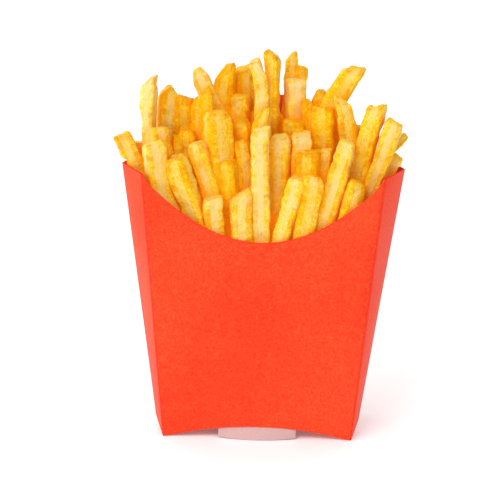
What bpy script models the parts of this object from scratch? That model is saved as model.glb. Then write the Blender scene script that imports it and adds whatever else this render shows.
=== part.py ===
"""French fries standing in a plain red paperboard carton.

The carton is one folded blank: a front panel with a dipped rim, two gussets that each
fold once at the outer edge, a taller back panel with a rounded top, and a base that
arches off the ground between four resting corners. The fries are one heap, a core with
the single fries joined to it. Sizes are in millimetres until a mesh is written.
"""

import math
import random

import bmesh
import bpy
from mathutils import Vector

MM = 0.001

# Carton: half widths and half depths from the middle plane, and heights
FOLD_BASE, FOLD_RIM = 41.8, 51.5
EDGE_BASE, EDGE_RIM = 46.4, 62.0
DEPTH_BASE, FRONT_DEPTH_RIM, BACK_DEPTH_RIM = 17.5, 24.5, 23.6
FRONT_FOLD_HEIGHT = 119.8
EDGE_HEIGHT = 119.8
BACK_FOLD_HEIGHT = 122.0
BACK_HEIGHT = 148.0
SCOOP_LOW = 90.6
EDGE_LIFT = 4.5
ARCH_RISE = 5.4
BOARD = 0.7

SCOOP_EXPONENT = 2.05
SCOOP_CORNER_RISE = 1.8
SCOOP_CORNER_EXPONENT = 20
BACK_EXPONENT = 2.2
FOOT_DEPTH = 0.25
FOOT_START = 0.97
EDGE_ROUNDING = 0.07
EDGE_INSET = 0.2
PANEL_COLUMNS = 26
PANEL_ROWS = 3

# Bottom lock's tongue, which shows under the front arch and bows forward as it comes down
TAB_HALF_WIDTH = 17.2
TAB_FRONT = -17.1
TAB_BULGE, TAB_END_BULGE = 3.4, 1.0
TAB_LOW, TAB_END_LOW = 0.15, 0.7
TAB_COLUMNS = 8

# Heap: core sections as height, share of the carton's inner width and depth
CLEARANCE = 0.35
CORE_SECTIONS = (
    (5.5, 0.90, 0.86),
    (78.0, 0.93, 0.90),
    (92.0, 0.80, 0.62),
    (112.0, 0.72, 0.42),
)

# Single fries that show, from the left: tip x, y and z, lean to the right in
# degrees, width, how far it bows sideways or its tip hooks, and the shape of the tip
FRIES = (
    (-61.0, -1.0, 131.6, -24, 7.4, 0.0, "dome"),
    (-55.0, 7.0, 128.3, -9, 6.0, 0.0, "flat"),
    (-50.3, 0.0, 157.2, 0, 7.2, 0.0, "beak"),
    (-42.4, 8.0, 152.9, 1, 9.2, 0.0, "gable"),
    (-45.0, -6.0, 136.9, 0, 8.7, 0.0, "flat"),
    (-47.8, -14.5, 131.6, -14, 9.8, -1.4, "dome"),
    (-42.0, -9.0, 129.5, -4, 5.0, 0.0, "dome"),
    (-38.4, -5.0, 133.2, -9, 4.8, 0.0, "round"),
    (-37.8, -16.0, 125.7, -17, 9.6, 0.6, "dome"),
    (-35.2, 8.0, 147.8, -2, 8.2, 0.0, "fall"),
    (-33.5, -3.0, 135.5, -1, 7.4, 0.0, "dome"),
    (-29.7, -10.5, 131.4, -17, 7.4, 0.8, "dome"),
    (-28.2, 3.0, 149.4, -1, 7.6, 0.0, "round"),
    (-29.2, 4.0, 160.8, -28, 7.2, -0.8, "taper"),
    (-26.2, -2.0, 154.0, -6, 6.6, 0.0, "peak"),
    (-21.2, -17.0, 109.2, -2, 8.8, 0.0, "tilt"),
    (-20.6, -7.5, 145.0, -3, 11.8, 0.5, "dome"),
    (-16.2, -10.5, 123.8, -11, 8.6, 0.0, "flat"),
    (-15.6, -11.5, 109.0, -1, 5.0, 0.0, "dome"),
    (-17.9, 8.0, 162.3, 0, 8.4, 0.0, "crest"),
    (-11.2, -7.0, 132.2, -11, 7.4, 0.0, "dome"),
    (-10.9, 5.0, 151.0, -1, 8.0, 0.0, "flat"),
    (-9.6, -2.5, 141.0, -3, 7.8, 0.0, "dome"),
    (-9.4, -17.0, 111.0, -2, 9.4, 0.0, "right"),
    (-8.8, 14.0, 162.2, -1, 9.0, 0.6, "tilt"),
    (-0.9, 2.0, 166.6, -1, 5.8, -3.6, "hook"),
    (-1.3, -6.0, 145.4, -1, 7.8, 0.0, "crest"),
    (-1.3, -16.5, 139.2, 0, 6.9, 0.0, "flare"),
    (2.8, 5.0, 168.8, -1, 6.0, 0.0, "left"),
    (5.7, 9.0, 142.3, -1, 7.0, 0.0, "left"),
    (6.8, -9.0, 134.6, 0, 9.0, 0.0, "dome"),
    (11.3, 14.0, 168.2, 3, 5.8, 0.0, "peak"),
    (12.8, 0.0, 140.0, -1, 9.6, 0.0, "flat"),
    (13.0, 7.0, 157.8, -1, 8.6, 0.0, "flat"),
    (14.4, -17.0, 118.7, 11, 7.8, 0.0, "dome"),
    (14.3, -11.5, 105.0, -1, 5.0, 0.0, "flat"),
    (15.6, -6.5, 135.4, -1, 8.0, 0.0, "flat"),
    (15.6, 13.5, 162.0, 4, 6.0, 0.0, "flat"),
    (18.3, -10.5, 128.4, -1, 10.4, 0.0, "flat"),
    (18.5, 1.5, 149.2, -3, 5.4, 0.0, "round"),
    (20.9, -17.0, 119.3, 7, 9.6, 0.0, "dome"),
    (24.2, 8.0, 153.2, 1, 7.0, 0.0, "round"),
    (24.7, 1.0, 147.0, -2, 9.3, 0.0, "flat"),
    (26.4, -8.5, 128.9, -1, 5.6, 0.0, "flat"),
    (31.6, -1.5, 152.2, -9, 7.8, 1.2, "shoulder"),
    (35.1, -14.5, 133.8, 11, 10.0, 0.0, "slim"),
    (39.4, 4.0, 162.8, 30, 8.9, 0.0, "corner"),
    (39.8, -17.0, 117.6, 11, 7.8, 0.0, "dome"),
    (41.0, 9.0, 136.8, 0, 5.6, 0.0, "flat"),
    (48.4, -6.5, 149.2, 13, 8.9, 0.0, "twin"),
    (55.9, -9.5, 142.0, 17, 6.8, -0.4, "left"),
    (57.4, -4.0, 126.2, 28, 6.0, 0.0, "dome"),
    (62.6, 0.0, 134.0, 52, 5.0, 0.0, "round"),
)
TIP_X, TIP_Y, TIP_Z, LEAN, WIDTH, BOW, TIP = range(7)

# Where the fries end inside the heap, deeper next to the board
OUTER_FOOT, INNER_FOOT = 80.0, 98.0
OUTER_Y, OUTER_X = 12.0, 40.0
LONGEST = 62.0

# Fries behind and between them, placed on a grid with a random part
SEED = 20
FILL_ROWS = (17.8, 10.2, 2.6, -5.0)
FILL_REACH = 52.0
FILL_STEP = 9.0
FILL_SPACE = 6.0
FILL_TOP = 144.0
FILL_FALL = 17.0
FILL_DROP = 8.0
FILL_LEAN = 0.22
LEVEL = 118.0

FRY_RINGS = (0.0, 0.3, 0.6, 0.84, 0.96, 1.0)
SECTION_CORNER = 0.52
HOOK_START = 0.84
MOST_TURN = 22.0
TIP_SHAPES = {
    # share of the width at the last two rings, the end's slope up to the right, and its
    # push sideways as a share of the width
    "flat": (0.98, 0.84, -0.05, 0.0),
    "tilt": (0.98, 0.84, 0.27, 0.0),
    "fall": (0.98, 0.84, -0.27, 0.0),
    "dome": (0.96, 0.66, -0.05, 0.0),
    "round": (0.88, 0.45, 0.0, 0.0),
    "left": (0.96, 0.78, -0.53, -0.05),
    "right": (0.96, 0.80, 0.53, 0.05),
    "corner": (0.90, 0.66, 0.45, 0.12),
    "crest": (0.82, 0.50, 0.21, 0.22),
    "beak": (0.88, 0.50, 0.40, 0.24),
    "shoulder": (0.78, 0.50, -0.32, -0.20),
    "gable": (0.86, 0.22, 0.0, 0.14),
    "peak": (0.80, 0.22, 0.25, 0.24),
    "slim": (0.86, 0.70, -0.05, 0.0),
    "taper": (0.80, 0.60, -0.07, 0.0),
    "twin": (0.98, 0.92, 0.30, 0.0),
    "flare": (1.02, 0.94, 0.10, 0.18),
    "hook": (0.88, 0.62, 0.25, 0.0),
}
PUSH_BELOW_TIP = 0.6


def clear_scene():
    """Remove every object that the file opened with."""
    for item in list(bpy.data.objects):
        bpy.data.objects.remove(item, do_unlink=True)


def material(name, colour, roughness):
    """A plain surface with a colour and a roughness."""
    made = bpy.data.materials.new(name)
    made.use_nodes = True
    shader = made.node_tree.nodes["Principled BSDF"]
    shader.inputs["Base Color"].default_value = (*colour, 1.0)
    shader.inputs["Roughness"].default_value = roughness
    shader.inputs["Metallic"].default_value = 0.0
    return made


def mesh_object(name, points, faces, surface=None, collection=None):
    """An object from points in millimetres and faces, with its normals outward."""
    mesh = bpy.data.meshes.new(name)
    work = bmesh.new()
    corners = [work.verts.new(Vector(point) * MM) for point in points]
    for face in faces:
        work.faces.new([corners[index] for index in face])
    bmesh.ops.recalc_face_normals(work, faces=work.faces)
    work.to_mesh(mesh)
    work.free()
    if surface is not None:
        mesh.materials.append(surface)
    made = bpy.data.objects.new(name, mesh)
    (collection or bpy.context.scene.collection).objects.link(made)
    return made


def apply_modifiers(item):
    """Make an object's modifiers part of its mesh."""
    bpy.ops.object.select_all(action="DESELECT")
    item.select_set(True)
    bpy.context.view_layer.objects.active = item
    for modifier in list(item.modifiers):
        bpy.ops.object.modifier_apply(modifier=modifier.name)


def mark_as_cutter(item):
    """Show a helper object as wire and keep it out of renders."""
    item.display_type = "WIRE"
    item.hide_render = True


# Carton

def fold_half_width(z):
    return FOLD_BASE + (FOLD_RIM - FOLD_BASE) * z / FRONT_FOLD_HEIGHT


def edge_half_width(z):
    share = (z - EDGE_LIFT) / (EDGE_HEIGHT - EDGE_LIFT)
    return EDGE_BASE + (EDGE_RIM - EDGE_BASE) * share


def panel_y(z, side):
    """Depth of the front (-1) or back (1) panel, which both lean outward."""
    rim = BACK_DEPTH_RIM if side > 0 else FRONT_DEPTH_RIM
    return side * (DEPTH_BASE + (rim - DEPTH_BASE) * z / FRONT_FOLD_HEIGHT)


def arch(u):
    """Height of the base's lower edge, flat on the ground next to the corners."""
    return max(0.0, (ARCH_RISE + FOOT_DEPTH) * (1.0 - u * u) - FOOT_DEPTH)


def scoop(u):
    """Height of the front rim."""
    rise = FRONT_FOLD_HEIGHT - SCOOP_LOW - SCOOP_CORNER_RISE
    return (SCOOP_LOW + rise * abs(u) ** SCOOP_EXPONENT
            + SCOOP_CORNER_RISE * abs(u) ** SCOOP_CORNER_EXPONENT)


def back_top(u):
    """Height of the back panel's rounded top."""
    return BACK_HEIGHT - (BACK_HEIGHT - BACK_FOLD_HEIGHT) * abs(u) ** BACK_EXPONENT


def panel_point(u, z, side):
    """A point of the front (-1) or back (1) panel."""
    return (u * fold_half_width(z), panel_y(z, side), z)


def panel_shares():
    """Places across a panel from -1 to 1, with one at each foot's inner end."""
    even = [-1.0 + 2.0 * step / PANEL_COLUMNS for step in range(PANEL_COLUMNS + 1)]
    return sorted(even + [-FOOT_START, FOOT_START])


def column(base, top):
    """Points from the base's edge up to the rim."""
    low, high = Vector(base), Vector(top)
    return [low.lerp(high, row / PANEL_ROWS) for row in range(PANEL_ROWS + 1)]


def panel_columns(side, rim, clearance):
    """One column for each place across a panel."""
    return [column(panel_point(u, arch(u), side),
                   panel_point(u, rim(u) + clearance, side))
            for u in panel_shares()]


def gusset_columns(side, clearance):
    """The three columns of a gusset's rounded outer edge, from front to back."""
    base_edge = Vector((EDGE_BASE, 0, EDGE_LIFT))
    rim_edge = Vector((EDGE_RIM, 0, EDGE_HEIGHT + clearance))
    inset = Vector((EDGE_INSET, 0, 0))
    ends = [(base_edge - inset, rim_edge - inset)]
    for facing, rim_height in ((-1, FRONT_FOLD_HEIGHT), (1, BACK_FOLD_HEIGHT)):
        base_fold = Vector(panel_point(1, 0, facing))
        rim_fold = Vector(panel_point(1, rim_height + clearance, facing))
        pair = (base_edge.lerp(base_fold, EDGE_ROUNDING),
                rim_edge.lerp(rim_fold, EDGE_ROUNDING))
        ends.insert(0 if facing < 0 else 2, pair)
    return [column(*((side * point.x, point.y, point.z) for point in pair))
            for pair in ends]


def carton_sheet(name, clearance=0.0):
    """The folded blank as a closed solid, or a tool that is thicker on both sides."""
    front = panel_columns(-1, scoop, clearance)
    back = panel_columns(1, back_top, clearance)
    right, left = gusset_columns(1, clearance), gusset_columns(-1, clearance)
    loop = front + right + back[::-1] + left[::-1]
    rows = PANEL_ROWS + 1
    points = [point for post in loop for point in post]
    faces = []
    for index in range(len(loop)):
        near, far = index * rows, (index + 1) % len(loop) * rows
        faces += [(near + row, far + row, far + row + 1, near + row + 1)
                  for row in range(PANEL_ROWS)]
    count = len(front)
    right_start, back_start = count, count + len(right)
    left_start = back_start + count
    for index in range(count - 1):
        opposite = back_start + count - 1 - index
        faces.append(tuple(rows * post for post in
                           (index, index + 1, opposite - 1, opposite)))
    for start in (right_start, left_start):
        faces.append(tuple(rows * post for post in (
            start - 1, start, start + 1, start + 2, (start + 3) % len(loop))))
    sheet = mesh_object(name, points, faces)
    solid = sheet.modifiers.new("board", "SOLIDIFY")
    thickness = BOARD + 2 * clearance
    solid.thickness = thickness * MM
    solid.offset = 2 * clearance / thickness - 1
    solid.use_even_offset = True
    apply_modifiers(sheet)
    return sheet


def lock_tab():
    """The tongue under the front arch, let into the base board along its top."""
    points, faces = [], []
    for step in range(TAB_COLUMNS + 1):
        share = -1.0 + 2.0 * step / TAB_COLUMNS
        x = share * TAB_HALF_WIDTH
        low = TAB_LOW + (TAB_END_LOW - TAB_LOW) * share * share
        bulge = TAB_BULGE + (TAB_END_BULGE - TAB_BULGE) * share * share
        high = arch(x / FOLD_BASE) + BOARD / 2
        points += [(x, TAB_FRONT - bulge, low), (x, TAB_FRONT, high),
                   (x, TAB_FRONT + BOARD, high), (x, TAB_FRONT - bulge + BOARD, low)]
    for step in range(TAB_COLUMNS):
        near, far = 4 * step, 4 * step + 4
        faces += [(near + side, near + (side + 1) % 4, far + (side + 1) % 4, far + side)
                  for side in range(4)]
    last = 4 * TAB_COLUMNS
    faces += [(0, 1, 2, 3), (last, last + 1, last + 2, last + 3)]
    return mesh_object("lock_tab_tool", points, faces)


def build_carton():
    """The folded board with its lock tongue."""
    carton = carton_sheet("carton")
    carton.data.materials.append(material("carton_board", (0.86, 0.055, 0.025), 0.55))
    tab = lock_tab()
    join = carton.modifiers.new("tab", "BOOLEAN")
    join.operation = "UNION"
    join.solver = "EXACT"
    join.object = tab
    apply_modifiers(carton)
    bpy.data.objects.remove(tab, do_unlink=True)
    return carton


# Fries

def axis_at_level(fry):
    """Where a fry's axis passes the carton's rim."""
    return fry[TIP_X] - (fry[TIP_Z] - LEVEL) * math.tan(math.radians(fry[LEAN]))


def foot_of(fry):
    """Where a fry's axis ends inside the heap."""
    outer = abs(fry[TIP_Y]) > OUTER_Y or abs(axis_at_level(fry)) > OUTER_X
    lean = math.radians(fry[LEAN])
    drop = min(fry[TIP_Z] - (OUTER_FOOT if outer else INNER_FOOT),
               LONGEST * math.cos(lean))
    return (fry[TIP_X] - drop * math.tan(lean), fry[TIP_Y], fry[TIP_Z] - drop)


def section(width, depth):
    """Eight points of a square with cut corners."""
    x, y = width / 2, depth / 2
    cut_x, cut_y = x * SECTION_CORNER, y * SECTION_CORNER
    return [(x, -cut_y), (x, cut_y), (cut_x, y), (-cut_x, y),
            (-x, cut_y), (-x, -cut_y), (-cut_x, -y), (cut_x, -y)]


def fry_solid(name, fry, chance, collection):
    """One fry with few sides, from its foot in the heap up to its tip."""
    tip, foot = Vector(fry[:TIP_Z + 1]), Vector(foot_of(fry))
    axis = (tip - foot).normalized()
    across = Vector((0, 1, 0)).cross(axis).normalized()
    inward = axis.cross(across)
    near_tip, at_tip, slope, push = TIP_SHAPES[fry[TIP]]
    thickness = chance.uniform(0.88, 1.04)
    turn = math.radians(chance.uniform(-MOST_TURN, MOST_TURN))
    width = fry[WIDTH] * 2 / (1 + math.cos(turn) + math.sin(abs(turn)))
    widths = [chance.uniform(0.95, 1.05) for _ in FRY_RINGS]
    widths[-2:] = [near_tip, at_tip]
    pushes = [0.0] * (len(FRY_RINGS) - 2) + [push * PUSH_BELOW_TIP, push]
    points = []
    for share, scale, aside in zip(FRY_RINGS, widths, pushes):
        if fry[TIP] == "hook":
            bend = fry[BOW] * max(0.0, share - HOOK_START) / (1 - HOOK_START)
        else:
            bend = fry[BOW] * 4 * share * (1 - share)
        middle = foot.lerp(tip, share) + across * (bend + aside * width)
        for x, y in section(width * scale, width * thickness * scale):
            side = x * math.cos(turn) - y * math.sin(turn)
            depth = x * math.sin(turn) + y * math.cos(turn)
            rise = slope * side if share == 1.0 else 0.0
            points.append(middle + across * side + inward * depth + axis * rise)
    faces = []
    for ring in range(len(FRY_RINGS) - 1):
        low = ring * 8
        faces += [(low + i, low + (i + 1) % 8, low + 8 + (i + 1) % 8, low + 8 + i)
                  for i in range(8)]
    top = 8 * (len(FRY_RINGS) - 1)
    faces += [tuple(range(8)), tuple(range(top, top + 8))]
    return mesh_object(name, points, faces, collection=collection)


def filling_fries(chance):
    """Fries on a grid wherever the rim's level still has room."""
    made = []
    steps = int(2 * FILL_REACH / FILL_STEP)
    for row, y in enumerate(FILL_ROWS):
        for step in range(steps + 1):
            x = -FILL_REACH + FILL_STEP * (step + 0.5 * (row % 2)) + chance.uniform(-1, 1)
            depth = y + chance.uniform(-1, 1)
            top = FILL_TOP - FILL_FALL * (x / FILL_REACH) ** 2 - chance.uniform(0, FILL_DROP)
            width = chance.uniform(7.4, 8.8)
            tip = chance.choice(("dome", "dome", "left"))
            room = all(math.hypot(axis_at_level(fry) - x, fry[TIP_Y] - depth) > FILL_SPACE
                       for fry in (*FRIES, *made))
            if room and abs(x) <= FILL_REACH:
                lean = FILL_LEAN * x
                tip_x = x + (top - LEVEL) * math.tan(math.radians(lean))
                made.append((tip_x, depth, top, lean, width, 0.0, tip))
    return made


def heap_core():
    """A plug inside the carton that every fry reaches into."""
    points, faces = [], []
    for z, across, deep in CORE_SECTIONS:
        fold, edge = fold_half_width(z), edge_half_width(z)
        front, back = panel_y(z, -1), panel_y(z, 1)
        outline = ((fold, front), (edge, 0), (fold, back),
                   (-fold, back), (-edge, 0), (-fold, front))
        points += [(x * across, y * deep, z) for x, y in outline]
    for level in range(len(CORE_SECTIONS) - 1):
        low = 6 * level
        faces += [(low + i, low + (i + 1) % 6, low + 6 + (i + 1) % 6, low + 6 + i)
                  for i in range(6)]
    top = 6 * (len(CORE_SECTIONS) - 1)
    faces += [tuple(range(6)), tuple(range(top, top + 6))]
    return mesh_object("fries", points, faces,
                       material("fried_potato", (0.86, 0.52, 0.10), 0.6))


def keep_largest_body(item):
    """Fill sealed hollows and drop loose scraps, which are shells of their own."""
    work = bmesh.new()
    work.from_mesh(item.data)
    bmesh.ops.remove_doubles(work, verts=work.verts, dist=1e-6)
    waiting, shells = set(work.verts), []
    while waiting:
        shell, edge = set(), [waiting.pop()]
        while edge:
            vert = edge.pop()
            shell.add(vert)
            for link in vert.link_edges:
                other = link.other_vert(vert)
                if other in waiting:
                    waiting.discard(other)
                    edge.append(other)
        shells.append(shell)
    largest = max(shells, key=len)
    extra = [vert for shell in shells if shell is not largest for vert in shell]
    bmesh.ops.delete(work, geom=extra, context="VERTS")
    work.to_mesh(item.data)
    work.free()


def build_fries():
    """The heap: the core with every fry joined on, cut back from the board."""
    chance = random.Random(SEED)
    pieces = bpy.data.collections.new("fry_pieces")
    bpy.context.scene.collection.children.link(pieces)
    for index, fry in enumerate((*FRIES, *filling_fries(chance))):
        fry_solid(f"fry_{index:03d}", fry, random.Random(SEED + index), pieces)
    heap = heap_core()
    join = heap.modifiers.new("fries", "BOOLEAN")
    join.operation = "UNION"
    join.solver = "MANIFOLD"
    join.operand_type = "COLLECTION"
    join.collection = pieces
    board = carton_sheet("board_tool", CLEARANCE)
    mark_as_cutter(board)
    trim = heap.modifiers.new("room", "BOOLEAN")
    trim.operation = "DIFFERENCE"
    trim.solver = "MANIFOLD"
    trim.object = board
    apply_modifiers(heap)
    for piece in list(pieces.objects):
        bpy.data.objects.remove(piece, do_unlink=True)
    bpy.data.collections.remove(pieces)
    bpy.data.objects.remove(board, do_unlink=True)
    keep_largest_body(heap)
    return heap


def main():
    clear_scene()
    root = bpy.data.objects.new("fries_in_carton", None)
    bpy.context.scene.collection.objects.link(root)
    for item in (build_carton(), build_fries()):
        item.parent = root


main()
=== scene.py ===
"""Looks of the french fries in their red paperboard carton.

Every fry is modelled on its own at true size over an inner core of potato, with painted shade
and glow in the crevices between them;
the carton's board gets its folds, cut edges and paper grain, with painted shade along its folds
and cut edges, and a soft white studio stands round them.
Sizes are in millimetres until a mesh is placed.
"""

import math
import random

import bmesh
import bpy
from mathutils import Matrix, Vector


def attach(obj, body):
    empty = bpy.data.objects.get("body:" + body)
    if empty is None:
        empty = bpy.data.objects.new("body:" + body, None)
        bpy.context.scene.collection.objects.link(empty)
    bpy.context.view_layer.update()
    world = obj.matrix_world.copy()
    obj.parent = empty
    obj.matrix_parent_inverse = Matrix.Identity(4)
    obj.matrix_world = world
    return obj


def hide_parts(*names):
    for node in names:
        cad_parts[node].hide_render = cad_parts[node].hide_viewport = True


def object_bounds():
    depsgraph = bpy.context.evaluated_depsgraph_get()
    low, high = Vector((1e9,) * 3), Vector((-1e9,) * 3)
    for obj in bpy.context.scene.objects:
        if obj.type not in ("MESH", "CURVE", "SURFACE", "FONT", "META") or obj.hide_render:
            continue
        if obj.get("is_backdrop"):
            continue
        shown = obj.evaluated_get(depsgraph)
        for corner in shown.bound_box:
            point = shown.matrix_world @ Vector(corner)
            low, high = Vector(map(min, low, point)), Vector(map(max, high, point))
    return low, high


MM = 0.001

# Single fries that show, from the left: tip x, y and z, lean to the right in degrees,
# width, how far it bows sideways or its tip hooks, the shape of the tip, and its frying
FRIES = (
    (-62.8, -1.0, 132.2, -26, 7.4, 0.0, "flat", 0.36),
    (-55.0, 7.0, 128.3, -9, 6.0, 0.0, "flat", 0.22),
    (-50.2, 0.0, 157.5, 0, 6.4, 0.0, "beak", 0.20),
    (-42.6, 8.0, 152.4, 1, 9.0, 0.0, "gable", 0.38),
    (-45.0, -6.0, 136.9, 0, 8.7, 0.0, "flat", 0.40),
    (-47.8, -14.5, 131.6, -14, 9.8, -1.4, "dome", 0.14),
    (-42.0, -9.0, 129.5, -4, 5.0, 0.0, "dome", 0.46),
    (-38.4, -5.0, 133.2, -9, 4.8, 0.0, "round", 0.60),
    (-37.8, -16.0, 125.7, -17, 9.6, 0.6, "dome", 0.42),
    (-35.2, 8.0, 147.8, -2, 8.2, 0.0, "fall", 0.62),
    (-33.5, -3.0, 135.5, -1, 7.4, 0.0, "dome", 0.70),
    (-29.2, -10.5, 131.4, -17, 8.9, 0.8, "dome", 0.34),
    (-28.2, 3.0, 149.4, -1, 7.6, 0.0, "round", 0.56),
    (-30.2, 4.0, 160.4, -30, 6.8, -0.8, "round", 0.24),
    (-26.2, -2.0, 154.0, -6, 6.6, 0.0, "peak", 0.60),
    (-21.2, -17.0, 109.2, -2, 8.8, 0.0, "tilt", 0.20),
    (-20.6, -7.5, 145.0, -3, 11.8, 0.5, "dome", 0.40),
    (-16.2, -10.5, 123.8, -11, 8.6, 0.0, "flat", 0.56),
    (-15.6, -11.5, 109.0, -1, 5.0, 0.0, "dome", 0.82),
    (-17.9, 8.0, 162.3, 0, 8.4, 0.0, "crest", 0.62),
    (-11.2, -7.0, 132.2, -11, 7.4, 0.0, "dome", 0.50),
    (-10.9, 5.0, 149.8, -1, 8.2, 0.0, "flat", 0.44),
    (-9.6, -2.5, 141.0, -3, 7.8, 0.0, "dome", 0.56),
    (-9.4, -17.0, 111.0, -2, 9.4, 0.0, "right", 0.34),
    (-8.8, 14.0, 161.2, -1, 9.0, 0.6, "tilt", 0.46),
    (-1.6, 2.0, 165.6, -1, 6.0, -3.6, "hook", 0.26),
    (-1.3, -6.0, 145.4, -1, 7.8, 0.0, "crest", 0.42),
    (-1.5, -16.5, 139.2, -1.5, 7.1, 0.0, "flare", 0.12),
    (2.8, 5.0, 168.4, -1, 6.8, 0.0, "left", 0.44),
    (5.7, 9.0, 142.3, -1, 7.0, 0.0, "left", 0.68),
    (6.8, -9.0, 134.6, 0, 9.0, 0.0, "dome", 0.28),
    (11.5, 14.0, 168.2, 1.5, 5.5, 0.0, "peak", 0.48),
    (12.8, 0.0, 140.0, -1, 9.6, 0.0, "flat", 0.56),
    (13.2, 7.0, 156.9, -1, 8.4, 0.0, "flat", 0.12),
    (15.2, -17.0, 118.6, 13.5, 7.8, 0.0, "dome", 0.26),
    (14.3, -11.5, 105.0, -1, 5.0, 0.0, "flat", 0.85),
    (15.6, -6.5, 135.4, -1, 8.0, 0.0, "flat", 0.16),
    (15.6, 13.5, 162.0, 4, 6.0, 0.0, "flat", 0.50),
    (19.1, -10.5, 128.4, -1, 10.2, 0.0, "flat", 0.62),
    (18.5, 1.5, 149.2, -3, 5.4, 0.0, "round", 0.66),
    (21.5, -16.0, 119.3, 8, 9.6, 0.0, "dome", 0.42),
    (24.5, 8.0, 152.3, 1, 7.2, 0.0, "round", 0.40),
    (25.3, 1.0, 147.0, -2, 10.0, 0.0, "flat", 0.48),
    (26.4, -8.5, 128.9, -1, 5.6, 0.0, "flat", 0.28),
    (33.4, -1.5, 151.3, -6, 7.8, 1.2, "shoulder", 0.46),
    (35.6, -14.5, 133.8, 14, 8.7, 0.0, "slim", 0.22),
    (39.0, 4.0, 163.7, 30, 9.1, 0.0, "corner", 0.42),
    (40.6, -17.0, 117.8, 13, 7.8, 0.0, "dome", 0.38),
    (41.0, 9.0, 136.8, 0, 5.6, 0.0, "flat", 0.48),
    (48.4, -6.5, 149.6, 13, 8.9, 0.0, "twin", 0.42),
    (55.9, -9.5, 142.2, 17, 7.5, -0.4, "fall", 0.30),
    (57.4, -4.0, 126.2, 28, 6.0, 0.0, "dome", 0.38),
    (61.7, 0.0, 134.8, 52, 5.0, 0.0, "round", 0.42),
)
TIP_X, TIP_Y, TIP_Z, LEAN, WIDTH, BOW, TIP, FRYING = range(8)
FRYING_SPREAD = 0.06

# One piece for each kind, with the most frying in it
KINDS = (("fries_pale", 0.33), ("fries_golden", 0.45), ("fries_deep", 1.0))

# Tips: share of the width left, reach of the taper, fall to the right in degrees and
# push sideways as a share of the width
TIPS = {
    "flat": (0.92, 2.0, 3.0, 0.0),
    "tilt": (0.90, 2.4, -15.0, 0.0),
    "fall": (0.88, 2.6, 15.0, 0.0),
    "dome": (0.66, 3.8, 3.0, 0.0),
    "round": (0.40, 5.2, 0.0, 0.0),
    "left": (0.80, 3.2, 28.0, -0.05),
    "right": (0.84, 3.2, -28.0, 0.05),
    "corner": (0.66, 7.0, -24.0, 0.12),
    "crest": (0.44, 9.0, -12.0, 0.24),
    "beak": (0.52, 7.0, -22.0, 0.36),
    "shoulder": (0.50, 11.0, 18.0, -0.20),
    "gable": (0.16, 6.0, 0.0, 0.16),
    "peak": (0.16, 7.0, -14.0, 0.26),
    "slim": (0.72, 12.0, 3.0, 0.0),
    "twin": (0.76, 2.8, -25.0, 0.0),
    "flare": (0.94, 3.0, -6.0, 0.12),
    "hook": (0.62, 9.0, -14.0, 0.0),
}

# Where the fries end inside the heap, deeper next to the board
OUTER_FOOT, INNER_FOOT = 80.0, 90.0
OUTER_Y, OUTER_X = 12.0, 40.0
LONGEST = 62.0
LEVEL = 118.0

# Fries behind and between them, on a grid with a random part
SEED = 20
FILL_WIDTHS = (7.4, 8.8)
FILL_TIPS = ("dome", "dome", "left")
FILL_SHIFT = 1.0
FILL_ROWS = (17.8, 10.2, 2.6, -5.0)
FILL_REACH = 52.0
FILL_STEP = 9.0
FILL_SPACE = 6.0
FILL_TOP = 144.0
FILL_FALL = 17.0
FILL_DROP = 8.0
FILL_LEAN = 0.22
FILL_FRYING = 0.64

# How one fry is cut, bent and roughened; the corner and inset are shares of its width
FULLNESS = 1.09
THICKNESS = (0.88, 1.04)
TWIST = 22.0
CORNER = 0.17
END_INSET = 0.22
RINGS = 14
END_RINGS = (0.8, 1.9, 3.4, 5.2)
RING_REACH = 0.3
UNEVEN_TIP = 7.0
FALL_REACH, NOD_REACH = 4.0, 3.0
HOOK_REACH = 7.0
TWIN_DIP, TWIN_REACH, TWIN_SHARE = 1.5, 2.5, 0.3
ROUNDING = 2

# Unevenness of the crust: size, strength and direction, and how far fries' patterns differ
LUMPS = ((16.0, 1.8, "RGB_TO_XYZ"), (6.0, 1.5, "NORMAL"), (2.2, 0.60, "NORMAL"))
PATTERN_SPREAD = 400.0

# Fries that lean on the board are pressed flat against it, between two levels
PRESS_LOW, PRESS_HIGH = 76.0, 120.0
PRESS_GAP = 1.5
PRESSED = 0.08
RIM_MARGIN = 1.0

# Inner core: height, share of the carton's width and depth
CORE_SECTIONS = ((6.0, 0.88, 0.84), (76.0, 0.92, 0.88), (92.0, 0.86, 0.70), (112.0, 0.72, 0.46))
CORE_CUTS = 5

# Carton, as in its solid
FOLD_BASE, FOLD_RIM = 41.8, 51.5
EDGE_BASE, EDGE_RIM = 46.4, 62.0
DEPTH_BASE, FRONT_DEPTH_RIM, BACK_DEPTH_RIM = 17.5, 24.5, 23.6
FOLD_HEIGHT, BACK_FOLD_HEIGHT, BACK_HEIGHT, SCOOP_LOW = 119.8, 122.0, 148.0, 90.6
EDGE_LIFT = 4.5
ARCH_RISE, FOOT_DEPTH = 5.4, 0.25
TAB_HALF_WIDTH, TAB_BACK, TAB_MARGIN = 17.4, -16.3, 0.8
FOLD_SOFTNESS, FOLD_ANGLE, SMOOTH_ANGLE = 0.18, 25.0, 30.0
SAME_POINT = 0.01

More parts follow.
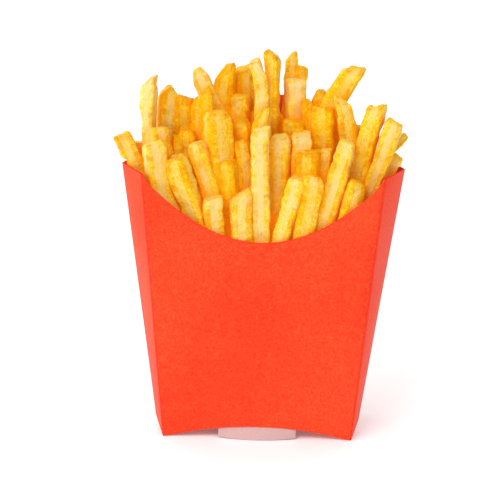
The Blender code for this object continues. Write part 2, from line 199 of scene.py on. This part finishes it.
# Finishes: ramps of places and colours, then single colours
CRUST = (
    (0.00, (0.95, 0.68, 0.27)),
    (0.25, (0.94, 0.64, 0.16)),
    (0.50, (0.95, 0.61, 0.042)),
    (0.75, (0.95, 0.51, 0.006)),
    (1.00, (0.93, 0.39, 0.002)),
)
# Inner core colours, darker than the crust as painted shade
SHADED_POTATO = ((0.35, (0.80, 0.20, 0.002)), (0.65, (0.92, 0.36, 0.008)))
RED_BOARD = (
    (0.15, (0.70, 0.016, 0.002)),
    (0.50, (0.80, 0.046, 0.009)),
    (0.85, (0.87, 0.090, 0.026)),
)
# Unprinted board, darkened as painted shade and pinked as a painted red reflection
SHADED_BARE_BOARD = ((0.3, (0.50, 0.30, 0.29)), (0.7, (0.58, 0.37, 0.35)))
BROWNED = (0.80, 0.26, 0.004, 1.0)
# Painted shade and painted glow for the crevices between fries
SHADED = (0.96, 0.44, 0.001, 1.0)
SHADE_GLOW = (1.0, 0.2, 0.0, 1.0)
CORE_GLOW = (1.0, 0.30, 0.0, 1.0)
# Darker red: painted shade along the folds and on upward-facing cut edges
PAINTED_EDGE_SHADE = (0.80, 0.010, 0.002, 1.0)
OIL_SHEEN = (1.0, 0.75, 0.20, 1.0)
BOARD_SHEEN = (1.0, 0.80, 0.72, 1.0)
WHITE, BLACK = (1.0, 1.0, 1.0, 1.0), (0.0, 0.0, 0.0, 1.0)
FLOOR_WHITE = (0.94, 0.94, 0.94, 1.0)

# How far light is lost between fries, in metres
CREVICE = 0.0055

# Camera at the photograph's angle, with the focal length in pixels of its 485
CAMERA_PLACE = (-2.3, -650.0, 246.1)
CAMERA_PITCH, CAMERA_TURN, CAMERA_ROLL = -13.91, 0.54, 1.25
FOCAL_PIXELS, IMAGE_PIXELS, SENSOR = 1514.1, 485.0, 36.0

# Studio in metres: the sun's direction, strength and softness, then each softbox's place,
# size and power, and the point that they are aimed at
FLOOR_SIZE = 14.0
SKY_LIGHT = 0.92
KEY_SUN = ((0.34, 0.62, -0.72), 1.1, 25.0)
SOFTBOXES = (
    ("left_softbox", (-1.2, -0.25, 0.45), 0.8, 9.0),
    ("right_softbox", (1.2, -0.35, 0.45), 0.8, 0.6),
)
LIT_POINT = (0.0, 0.0, 0.09)

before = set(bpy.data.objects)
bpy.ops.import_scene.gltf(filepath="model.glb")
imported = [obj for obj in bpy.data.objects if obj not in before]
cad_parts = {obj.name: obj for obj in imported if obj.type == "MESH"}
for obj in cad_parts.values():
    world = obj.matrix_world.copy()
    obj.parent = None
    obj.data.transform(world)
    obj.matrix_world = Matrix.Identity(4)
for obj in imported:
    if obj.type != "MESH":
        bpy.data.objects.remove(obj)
CAD_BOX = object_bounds()


# Shader expressions

class Wire:
    """A shader socket that can be added, multiplied and passed to other nodes."""

    def __init__(self, tree, socket=None):
        self.tree = tree
        self.socket = socket

    def node(self, kind, settings=None, sockets=None, output=0):
        """Add a node, set it up, feed its inputs and return one of its outputs."""
        made = self.tree.nodes.new(kind)
        for name, value in (settings or {}).items():
            if name == "stops":
                marks = made.color_ramp.elements
                while len(marks) < len(value):
                    marks.new(0.5)
                for stop, (place, colour) in zip(marks, value):
                    stop.position = place
                    stop.color = (*colour, 1.0)
            else:
                setattr(made, name, value)
        for name, value in (sockets or {}).items():
            if isinstance(value, Wire):
                self.tree.links.new(value.socket, made.inputs[name])
            else:
                made.inputs[name].default_value = value
        return Wire(self.tree, made.outputs[output])

    def math(self, operation, *values):
        return self.node("ShaderNodeMath", {"operation": operation},
                         dict(enumerate(values)))

    def __add__(self, other):
        return self.math("ADD", self, other)

    def __sub__(self, other):
        return self.math("SUBTRACT", self, other)

    def __rsub__(self, other):
        return self.math("SUBTRACT", other, self)

    def __mul__(self, other):
        return self.math("MULTIPLY", self, other)

    def __abs__(self):
        return self.math("ABSOLUTE", self)

    __radd__ = __add__
    __rmul__ = __mul__

    def colour(self, value):
        """A plain colour to build on."""
        made = self.node("ShaderNodeRGB")
        made.socket.default_value = value
        return made

    def clamp(self):
        return self.node("ShaderNodeClamp", None, {"Value": self})

    def between(self, low, high):
        """0 below low, 1 above high, smooth between them."""
        return self.node("ShaderNodeMapRange", {"interpolation_type": "SMOOTHSTEP"},
                         {"Value": self, "From Min": low, "From Max": high})

    def mix(self, other, share):
        """This colour blended with another by a share."""
        return self.node("ShaderNodeMix", {"data_type": "RGBA"},
                         {0: share, 6: self, 7: other}, output=2)

    def ramp(self, stops):
        """The colour that a ramp of places and colours has at this value."""
        return self.node("ShaderNodeValToRGB", {"stops": stops}, {"Fac": self})

    def bump(self, strength, depth):
        """The normal that this value gives as a height, with its depth in metres."""
        return self.node("ShaderNodeBump", None,
                         {"Strength": strength, "Distance": depth, "Height": self})

    def scaled(self, *factors):
        """This vector multiplied along its axes."""
        return self.node("ShaderNodeVectorMath", {"operation": "MULTIPLY"},
                         {0: self, 1: factors})

    def part(self, axis):
        return self.node("ShaderNodeSeparateXYZ", None, {0: self}, output=axis)

    def noise(self, scale, detail=3.0, rough=0.5):
        """Cloudy values round 0.5 over this vector."""
        return self.node("ShaderNodeTexNoise", None,
                         {"Vector": self, "Scale": scale, "Detail": detail,
                          "Roughness": rough})


def new_material(name):
    """A material with its shader, and a wire to build on."""
    made = bpy.data.materials.new(name)
    made.use_nodes = True
    shader = made.node_tree.nodes["Principled BSDF"]
    return made, shader, Wire(made.node_tree)


def feed(wire, shader, sockets):
    """Link or set the shader's own sockets."""
    for name, value in sockets.items():
        if isinstance(value, Wire):
            wire.tree.links.new(value.socket, shader.inputs[name])
        else:
            shader.inputs[name].default_value = value


def crust_material():
    """Fried potato: golden faces with a fine crisp grain, browner edges and tips, and painted
    shade and a painted orange glow in the crevices between fries.
    """
    made, shader, wire = new_material("fried_crust")
    own = wire.node("ShaderNodeAttribute", {"attribute_name": "own"}, output=1)
    cut = wire.node("ShaderNodeAttribute", {"attribute_name": "cut"}, output=1)
    frying = wire.node("ShaderNodeAttribute", {"attribute_name": "frying"}, output=2)
    across, deep, rise = cut.part(0), cut.part(1), cut.part(2)
    patches = own.scaled(1.0, 1.0, 0.5).noise(0.15, 2.0)
    mottle = own.scaled(1.0, 1.0, 0.3).noise(0.75, 3.0, 0.65)
    grain = own.scaled(1.0, 1.0, 0.45).noise(2.2, 2.0, 0.6)
    corner = (abs(across) * abs(deep)).between(0.36, 0.66)
    edge = corner * own.noise(0.35, 2.0).between(0.2, 0.5)
    browned = frying.between(0.26, 0.56)
    tip = rise.between(0.80, 0.97)
    end = rise.between(0.975, 0.995)
    tone = (frying + (patches - 0.5) * 0.9 + (mottle - 0.5) * 0.5 + (grain - 0.5) * 1.8
            + edge * 0.36 + end * 0.24 - tip * (1 - browned) * 0.16 - 0.04).clamp()
    colour = tone.ramp(CRUST)
    crown = rise.between(0.93, 0.99) * own.noise(0.30, 2.0).between(0.42, 0.62) * browned
    rim = edge * own.noise(0.22, 2.0).between(0.48, 0.66) * 0.6
    spots = own.noise(0.5, 2.0).between(0.70, 0.78) * 0.5
    colour = colour.mix(BROWNED, (crown * 0.55 + rim + spots).clamp())
    # Painted shade: where little light reaches between fries the crust turns a deeper orange,
    # and a painted orange glow lights those crevices
    painted_crevice_shade = 1 - wire.node("ShaderNodeAmbientOcclusion", {"samples": 12},
                           {"Distance": CREVICE}, output=1)
    colour = colour.mix(SHADED, (painted_crevice_shade * 1.05).clamp())
    painted_crevice_glow = wire.colour(BLACK).mix(SHADE_GLOW, painted_crevice_shade.clamp())
    relief = own.noise(0.9, 5.0, 0.72) + grain * 0.5
    normal = relief.bump(0.9, 0.001)
    feed(wire, shader, {
        "Base Color": colour,
        "Roughness": grain * 0.3 + 0.36,
        "Normal": normal,
        "Specular IOR Level": 0.10,
        "Specular Tint": OIL_SHEEN,
        "Emission Color": painted_crevice_glow,
        "Emission Strength": 0.17,
    })
    return made


def core_material():
    """The deep mass of fries inside the carton, in a darker orange that is painted shade, with
    a faint painted glow.
    """
    made, shader, wire = new_material("inner_potato")
    place = wire.node("ShaderNodeTexCoord", output=3).scaled(1.0, 1.0, 0.2)
    streaks = place.noise(260.0, 3.0)
    feed(wire, shader, {
        "Base Color": streaks.ramp(SHADED_POTATO),
        "Roughness": 0.6,
        "Normal": streaks.bump(0.8, 0.002),
        "Specular IOR Level": 0.05,
        # Painted glow: the core lights itself faintly, standing in for light passing between
        # fries
        "Emission Color": CORE_GLOW,
        "Emission Strength": 0.16,
    })
    return made


def board_material():
    """Red coated paperboard: fibre mottling, scored folds, and painted shade as a darker red
    along the folds and on faces turned upward, such as the cut edges.
    """
    made, shader, wire = new_material("red_paperboard")
    place = wire.node("ShaderNodeTexCoord", output=3).scaled(1000.0, 1000.0, 1000.0)
    x, z = place.part(0), place.part(2)
    fibre = place.noise(1.0, 4.0, 0.75)
    mottle = place.noise(0.30, 3.0, 0.6)
    cloud = place.noise(0.022, 2.0)
    fold = abs(x) - (z * ((FOLD_RIM - FOLD_BASE) / FOLD_HEIGHT) + FOLD_BASE)
    # Painted shade: a darker, saturated red along the front panel's folds, which the bump also
    # dents as scores
    score_and_shade = 1 - abs(fold).between(0.15, 0.75)
    # Painted shade: faces turned upward, such as the cut edges, take the darker red
    rim = wire.node("ShaderNodeNewGeometry", output=1).part(2).between(0.6, 0.9)
    value = ((fibre - 0.5) * 1.4 + (mottle - 0.5) * 0.3 + (cloud - 0.5) * 0.4 + 0.5).clamp()
    height = fibre * 0.6 + mottle * 0.8 - score_and_shade * 1.4
    feed(wire, shader, {
        "Base Color": value.ramp(RED_BOARD).mix(PAINTED_EDGE_SHADE, (score_and_shade * 0.6 + rim).clamp()),
        "Roughness": mottle * 0.2 + 0.45,
        "Normal": height.bump(0.5, 0.0003),
        "Specular IOR Level": 0.20,
        "Specular Tint": BOARD_SHEEN,
    })
    return made


def bare_board_material():
    """The unprinted board of the lock tab, darkened as painted shade and tinted pink as a
    painted reflection of the red board round it.
    """
    made, shader, wire = new_material("bare_paperboard")
    place = wire.node("ShaderNodeTexCoord", output=3).scaled(1000.0, 1000.0, 1000.0)
    fibre = place.noise(1.8, 4.0, 0.7)
    feed(wire, shader, {
        "Base Color": fibre.ramp(SHADED_BARE_BOARD),
        "Roughness": 0.7,
        "Normal": fibre.bump(0.3, 0.0002),
    })
    return made


# Modelling helpers

def start_object(item):
    """Make one object the only selected and active one."""
    bpy.ops.object.select_all(action="DESELECT")
    item.select_set(True)
    bpy.context.view_layer.objects.active = item


def pick(item, test):
    """In edit mode, select exactly the vertices that pass a test on their place."""
    work = bmesh.from_edit_mesh(item.data)
    for vert in work.verts:
        vert.select_set(test(vert.co))
    work.select_flush_mode()
    bmesh.update_edit_mesh(item.data)


def apply_modifiers(item):
    """Apply all the modifiers, in their order."""
    start_object(item)
    for modifier in list(item.modifiers):
        bpy.ops.object.modifier_apply(modifier=modifier.name)


def arch(u):
    """Height of the base's lower edge above the ground, at a place from -1 to 1."""
    return (ARCH_RISE + FOOT_DEPTH) * (1.0 - u * u) - FOOT_DEPTH


def fold_half_width(z):
    """Half the distance between the folds of the front panel, at a height."""
    return FOLD_BASE + (FOLD_RIM - FOLD_BASE) * z / FOLD_HEIGHT


def edge_half_width(z):
    """Half the distance between the gussets' middle folds, at a height."""
    return EDGE_BASE + (EDGE_RIM - EDGE_BASE) * (z - EDGE_LIFT) / (FOLD_HEIGHT - EDGE_LIFT)


def panel_y(z, side):
    """Where the front (side -1) or back (side 1) panel stands, at a height."""
    rim = BACK_DEPTH_RIM if side > 0 else FRONT_DEPTH_RIM
    return side * (DEPTH_BASE + (rim - DEPTH_BASE) * z / FOLD_HEIGHT)


# Fries

def axis_at_level(fry):
    """Where a fry's axis passes the carton's rim."""
    return fry[TIP_X] - (fry[TIP_Z] - LEVEL) * math.tan(math.radians(fry[LEAN]))


def foot_of(fry):
    """Where a fry's axis ends inside the heap."""
    outer = abs(fry[TIP_Y]) > OUTER_Y or abs(axis_at_level(fry)) > OUTER_X
    lean = math.radians(fry[LEAN])
    drop = min(fry[TIP_Z] - (OUTER_FOOT if outer else INNER_FOOT),
               LONGEST * math.cos(lean))
    return (fry[TIP_X] - drop * math.tan(lean), fry[TIP_Y], fry[TIP_Z] - drop)


def filling_fries(chance):
    """Fries on a grid wherever the rim's level still has room."""
    made = []
    steps = int(2 * FILL_REACH / FILL_STEP)

    def shift():
        return chance.uniform(-FILL_SHIFT, FILL_SHIFT)

    for row, y in enumerate(FILL_ROWS):
        for step in range(steps + 1):
            x = -FILL_REACH + FILL_STEP * (step + 0.5 * (row % 2)) + shift()
            depth = y + shift()
            top = FILL_TOP - FILL_FALL * (x / FILL_REACH) ** 2 - chance.uniform(0, FILL_DROP)
            width = chance.uniform(*FILL_WIDTHS)
            tip = chance.choice(FILL_TIPS)
            room = all(math.hypot(axis_at_level(fry) - x, fry[TIP_Y] - depth) > FILL_SPACE
                       for fry in (*FRIES, *made))
            if room and abs(x) <= FILL_REACH:
                lean = FILL_LEAN * x
                tip_x = x + (top - LEVEL) * math.tan(math.radians(lean))
                made.append((tip_x, depth, top, lean, width, 0.0, tip, FILL_FRYING))
    return made


def plain_stick():
    """A potato stick one unit wide, deep and long, cut from a cube with soft corners."""
    bpy.ops.object.select_all(action="DESELECT")
    bpy.ops.mesh.primitive_cube_add(size=1.0, location=(0.0, 0.0, 0.5))
    stick = bpy.context.object
    bpy.ops.object.transform_apply(location=True)
    bpy.ops.object.mode_set(mode="EDIT")
    bpy.ops.mesh.select_mode(type="EDGE")

    def pick_long():
        work = bmesh.from_edit_mesh(stick.data)
        for edge in work.edges:
            edge.select_set(abs(edge.verts[0].co.z - edge.verts[1].co.z) > 0.5)
        bmesh.update_edit_mesh(stick.data)

    pick_long()
    bpy.ops.mesh.bevel(offset=CORNER, offset_type="OFFSET", segments=2, affect="EDGES")
    pick_long()
    bpy.ops.mesh.subdivide(number_cuts=RINGS)
    bpy.ops.mesh.select_mode(type="FACE")
    work = bmesh.from_edit_mesh(stick.data)
    for face in work.faces:
        face.select_set(abs(face.normal.z) > 0.5)
    bmesh.update_edit_mesh(stick.data)
    bpy.ops.mesh.inset(thickness=END_INSET, use_individual=True)
    bpy.ops.mesh.select_mode(type="VERT")
    bpy.ops.object.mode_set(mode="OBJECT")
    return stick


def move_near(operator, reach, falloff="SMOOTH", **settings):
    """Transform what is selected, and what lies near it less and less."""
    operator(use_proportional_edit=True, proportional_edit_falloff=falloff,
             proportional_size=reach, **settings)


def shape_tip(item, fry, length, chance):
    """Narrow, tilt and push the upper end, in edit mode."""
    share, reach, fall, push = TIPS[fry[TIP]]
    centre = (0.0, 0.0, length)
    pick(item, lambda place: place.z > length - 0.5 * END_RINGS[0])
    move_near(bpy.ops.transform.resize, reach, "SHARP",
              value=(share, 0.5 + 0.5 * share, 1.0), center_override=centre)
    move_near(bpy.ops.transform.translate, reach, "SHARP", value=(push * fry[WIDTH], 0, 0))
    steep = math.radians(fall + chance.uniform(-1, 1) * UNEVEN_TIP)
    move_near(bpy.ops.transform.rotate, FALL_REACH, value=-steep, orient_axis="Y",
              center_override=centre)
    back = math.radians(chance.uniform(-2, 1) * UNEVEN_TIP)
    move_near(bpy.ops.transform.rotate, NOD_REACH, value=back, orient_axis="X",
              center_override=centre)
    if fry[TIP] == "twin":
        pick(item, lambda place: place.z > length - TWIN_REACH
             and abs(place.x) < TWIN_SHARE * fry[WIDTH])
        bpy.ops.transform.translate(value=(0, 0, -TWIN_DIP))


def bend(item, fry, length):
    """Bow the middle or hook the tip sideways, in edit mode."""
    if fry[BOW] == 0.0:
        return
    if fry[TIP] == "hook":
        pick(item, lambda place: place.z > length - END_RINGS[1] - RING_REACH)
        reach = HOOK_REACH
    else:
        ring = round(0.5 * (RINGS + 1)) / (RINGS + 1) * length
        pick(item, lambda place: abs(place.z - ring) < RING_REACH)
        reach = 0.5 * length
    move_near(bpy.ops.transform.translate, reach, value=(fry[BOW], 0, 0))


def note_crust(item, width, depth, length, frying, chance):
    """Keep each point's own place, its place in the cut and the frying for the crust."""
    shift = Vector([chance.uniform(0, PATTERN_SPREAD) for _ in range(3)])
    for name, kind in (("own", "FLOAT_VECTOR"), ("cut", "FLOAT_VECTOR"), ("frying", "FLOAT")):
        item.data.attributes.new(name, kind, "POINT")
    own, cut, fried = (item.data.attributes[name] for name in ("own", "cut", "frying"))
    for vert in item.data.vertices:
        place = vert.co
        own.data[vert.index].vector = place + shift
        cut.data[vert.index].vector = (2 * place.x / width, 2 * place.y / depth,
                                       place.z / length)
        fried.data[vert.index].value = frying


def cut_fry(stick, fry, index):
    """One fry from the stick: sized, tipped, bent and stood in its place."""
    chance = random.Random(SEED + index)
    thickness = chance.uniform(*THICKNESS)
    twist = chance.uniform(-TWIST, TWIST)
    tip, foot = Vector(fry[:TIP_Z + 1]), Vector(foot_of(fry))
    length = (tip - foot).length
    turned = math.radians(abs(twist))
    width = fry[WIDTH] * FULLNESS * 2 / (1 + math.cos(turned) + math.sin(turned))
    depth = width * thickness
    item = stick.copy()
    item.data = stick.data.copy()
    bpy.context.scene.collection.objects.link(item)
    start_object(item)
    item.scale = (width, depth, length)
    bpy.ops.object.transform_apply(scale=True)
    bpy.ops.object.mode_set(mode="EDIT")
    for ring in END_RINGS:
        bpy.ops.mesh.select_all(action="SELECT")
        bpy.ops.mesh.bisect(plane_co=(0, 0, length - ring), plane_no=(0, 0, 1))
    bpy.ops.object.mode_set(mode="OBJECT")
    frying = fry[FRYING] + chance.uniform(-1, 1) * FRYING_SPREAD
    note_crust(item, width, depth, length, frying, chance)
    bpy.ops.object.mode_set(mode="EDIT")
    shape_tip(item, fry, length, chance)
    bend(item, fry, length)
    bpy.ops.object.mode_set(mode="OBJECT")
    axis = (tip - foot).normalized()
    across = Vector((0, 1, 0)).cross(axis).normalized()
    inward = axis.cross(across)
    stance = Matrix((across, inward, axis)).transposed()
    item.rotation_euler = (stance @ Matrix.Rotation(math.radians(twist), 3, "Z")).to_euler()
    item.scale = (MM, MM, MM)
    item.location = foot * MM
    bpy.ops.object.transform_apply(location=True, rotation=True, scale=True)
    return item


def roughen(item):
    """Round the cage and give it the uneven surface of fried potato."""
    smooth = item.modifiers.new("round", "SUBSURF")
    smooth.levels = smooth.render_levels = ROUNDING
    for number, (size, strength, direction) in enumerate(LUMPS):
        texture = bpy.data.textures.new(f"{item.name}_lumps_{number}", "CLOUDS")
        texture.noise_scale = size * MM
        texture.noise_depth = 1
        lumps = item.modifiers.new(f"lumps_{number}", "DISPLACE")
        lumps.texture = texture
        lumps.texture_coords = "LOCAL"
        lumps.direction = direction
        lumps.strength = strength * MM
        lumps.mid_level = 0.5
    apply_modifiers(item)
    bpy.ops.object.shade_smooth()


def front_rim(x):
    """Height of the front panel's scooped rim."""
    return SCOOP_LOW + (FOLD_HEIGHT - SCOOP_LOW) * min(1.0, (x / FOLD_RIM) ** 2)


def back_rim(x):
    """Height up to which the back panel presses, the same all over."""
    return BACK_HEIGHT


def gusset_rim(x):
    """Height up to which the gussets press, the same all over."""
    return BACK_FOLD_HEIGHT + RIM_MARGIN


def inner_walls():
    """The six walls of the carton's room: a point, the way out and the rim over an x."""
    walls = []
    middle = 0.5 * (PRESS_LOW + PRESS_HIGH)
    for facing, rim in ((-1, front_rim), (1, back_rim)):
        low, high = (Vector((fold_half_width(z), panel_y(z, facing), z))
                     for z in (PRESS_LOW, PRESS_HIGH))
        walls.append((low, high, low * Vector((-1, 1, 1)), rim))
        for side in (-1, 1):
            mirror = Vector((side, 1, 1))
            edge = Vector((side * edge_half_width(middle), 0, middle))
            walls.append((low * mirror, high * mirror, edge, gusset_rim))
    for first, second, third, rim in walls:
        outward = (second - first).cross(third - first).normalized()
        if outward.dot(first * Vector((1, 1, 0))) < 0:
            outward.negate()
        yield (first - outward * PRESS_GAP) * MM, outward, rim


def press_inside(item):
    """Press what would pass the board flat against it, one wall at a time."""
    start_object(item)
    bpy.ops.object.mode_set(mode="EDIT")
    for corner, outward, rim in inner_walls():
        pick(item, lambda place: (place - corner).dot(outward) > 0
             and place.z < (rim(place.x / MM) - RIM_MARGIN) * MM)
        stance = outward.to_track_quat("Z", "Y").to_matrix()
        bpy.ops.transform.resize(value=(1, 1, PRESSED), orient_type="GLOBAL",
                                 orient_matrix_type="GLOBAL", orient_matrix=stance,
                                 center_override=corner)
    bpy.ops.object.mode_set(mode="OBJECT")


def make_fries(crust):
    """All the fries, joined into one piece for each kind."""
    stick = plain_stick()
    kinds = {name: [] for name, _ in KINDS}
    for index, fry in enumerate(FRIES):
        kind = next(name for name, most in KINDS if fry[FRYING] <= most)
        kinds[kind].append((index, fry))
    filled = filling_fries(random.Random(SEED))
    kinds["fries_inner"] = list(enumerate(filled, len(FRIES)))
    pieces = []
    for name, members in kinds.items():
        cut = [cut_fry(stick, fry, index) for index, fry in members]
        bpy.ops.object.select_all(action="DESELECT")
        for item in cut:
            item.select_set(True)
        bpy.context.view_layer.objects.active = cut[0]
        bpy.ops.object.join()
        piece = bpy.context.object
        piece.name = piece.data.name = name
        piece.data.materials.clear()
        piece.data.materials.append(crust)
        roughen(piece)
        press_inside(piece)
        pieces.append(piece)
    bpy.data.objects.remove(stick, do_unlink=True)
    return pieces


def make_core(surface):
    """The mass of potato that the fries stand in, from a six-sided prism drawn up in steps."""
    bpy.ops.object.select_all(action="DESELECT")
    bpy.ops.mesh.primitive_circle_add(vertices=6, radius=1.0, fill_type="NGON",
                                      rotation=(0, 0, math.radians(30)))
    core = bpy.context.object
    core.name = core.data.name = "inner_core"
    bpy.ops.object.transform_apply(rotation=True)
    bpy.ops.object.mode_set(mode="EDIT")
    pick(core, lambda place: abs(place.y) > 0.5)
    bpy.ops.transform.resize(value=(2 * FOLD_RIM / EDGE_RIM, 1, 1))
    bpy.ops.mesh.select_all(action="SELECT")
    last = Vector((1.0, math.cos(math.radians(30)), 0.0))
    for step, (z, across, deep) in enumerate(CORE_SECTIONS):
        size = Vector((edge_half_width(z) * across, panel_y(z, 1) * deep, z))
        if step:
            bpy.ops.mesh.extrude_region_move(
                TRANSFORM_OT_translate={"value": (0, 0, (size.z - last.z) * MM)})
            ratio = (size.x / last.x, size.y / last.y, 1.0)
        else:
            bpy.ops.transform.translate(value=(0, 0, z * MM))
            ratio = (size.x * MM / last.x, size.y * MM / last.y, 1.0)
        bpy.ops.transform.resize(value=ratio, center_override=(0, 0, z * MM))
        last = size
    bpy.ops.mesh.select_all(action="SELECT")
    bpy.ops.mesh.normals_make_consistent(inside=False)
    bpy.ops.mesh.subdivide(number_cuts=CORE_CUTS)
    bpy.ops.object.mode_set(mode="OBJECT")
    bpy.ops.object.transform_apply(location=True, rotation=True, scale=True)
    core.data.materials.append(surface)
    return core


# Carton

def make_carton(solid, board, bare_board):
    """The folded blank with soft folds and cut edges; its lock tab is unprinted."""
    carton = solid.copy()
    carton.data = solid.data.copy()
    carton.name = carton.data.name = "carton_board"
    bpy.context.scene.collection.objects.link(carton)
    start_object(carton)
    bpy.ops.object.mode_set(mode="EDIT")
    bpy.ops.mesh.select_all(action="SELECT")
    bpy.ops.mesh.remove_doubles(threshold=SAME_POINT * MM)
    bpy.ops.object.mode_set(mode="OBJECT")
    carton.data.materials.clear()
    carton.data.materials.append(board)
    carton.data.materials.append(bare_board)
    for face in carton.data.polygons:
        place = face.center / MM
        if (abs(place.x) < TAB_HALF_WIDTH and place.y < TAB_BACK
                and place.z < arch(place.x / FOLD_BASE) - TAB_MARGIN):
            face.material_index = 1
    soften = carton.modifiers.new("soft_folds", "BEVEL")
    soften.width = FOLD_SOFTNESS * MM
    soften.segments = 2
    soften.limit_method = "ANGLE"
    soften.angle_limit = math.radians(FOLD_ANGLE)
    apply_modifiers(carton)
    bpy.ops.object.shade_smooth_by_angle(angle=math.radians(SMOOTH_ANGLE))
    return carton


# Studio

def add_floor():
    """A pale, faintly glossy floor."""
    bpy.ops.object.select_all(action="DESELECT")
    bpy.ops.mesh.primitive_plane_add(size=FLOOR_SIZE)
    floor = bpy.context.object
    floor.name = "studio_floor"
    made, shader, wire = new_material("white_acrylic")
    place = wire.node("ShaderNodeTexCoord", output=3)
    feed(wire, shader, {
        "Base Color": FLOOR_WHITE,
        "Roughness": place.noise(3.0) * 0.04 + 0.32,
        "Specular IOR Level": 0.5,
        "Emission Color": WHITE,
        "Emission Strength": 0.09,
    })
    floor.data.materials.append(made)
    floor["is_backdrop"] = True


def add_sun(name, direction, strength, softness):
    """An even, soft light from one side."""
    bpy.ops.object.light_add(type="SUN")
    lamp = bpy.context.object
    lamp.name = name
    lamp.data.energy = strength
    lamp.data.angle = math.radians(softness)
    lamp.rotation_euler = Vector(direction).to_track_quat("-Z", "Y").to_euler()


def add_softbox(name, place, size, power):
    """A square softbox aimed at the heap."""
    bpy.ops.object.light_add(type="AREA", location=place)
    lamp = bpy.context.object
    lamp.name = name
    lamp.data.size = size
    lamp.data.energy = power
    aim = Vector(LIT_POINT) - Vector(place)
    lamp.rotation_euler = aim.to_track_quat("-Z", "Y").to_euler()


def add_studio():
    """Soft white light from all round, stronger from the upper left front."""
    world = bpy.data.worlds.new("studio_white")
    world.use_nodes = True
    background = world.node_tree.nodes["Background"]
    background.inputs["Color"].default_value = WHITE
    background.inputs["Strength"].default_value = SKY_LIGHT
    bpy.context.scene.world = world
    add_sun("key_sun", *KEY_SUN)
    for softbox in SOFTBOXES:
        add_softbox(*softbox)
    bpy.context.scene.view_settings.view_transform = "Standard"


def add_camera():
    """A long lens at the photograph's height, distance and tilt."""
    data = bpy.data.cameras.new("photo_camera")
    data.sensor_width = SENSOR
    data.lens = FOCAL_PIXELS / IMAGE_PIXELS * SENSOR
    camera = bpy.data.objects.new("photo_camera", data)
    bpy.context.scene.collection.objects.link(camera)
    camera.location = Vector(CAMERA_PLACE) * MM
    turned = (Matrix.Rotation(math.radians(CAMERA_TURN), 3, "Z")
              @ Matrix.Rotation(math.radians(90 + CAMERA_PITCH), 3, "X")
              @ Matrix.Rotation(math.radians(CAMERA_ROLL), 3, "Z"))
    camera.rotation_euler = turned.to_euler()
    bpy.context.scene.camera = camera


def main():
    """Build every piece, tie it to the body, hide the CAD node it stands for, and work out the
    sizes.
    """
    carton = make_carton(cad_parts["carton"], board_material(), bare_board_material())
    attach(carton, "root")
    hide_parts("carton")
    pieces = make_fries(crust_material())
    pieces.append(make_core(core_material()))
    for piece in pieces:
        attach(piece, "root")
        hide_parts("fries")
    add_floor()
    add_studio()
    add_camera()
    corners = [[list(corner) for corner in box] for box in (CAD_BOX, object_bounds())]


main()
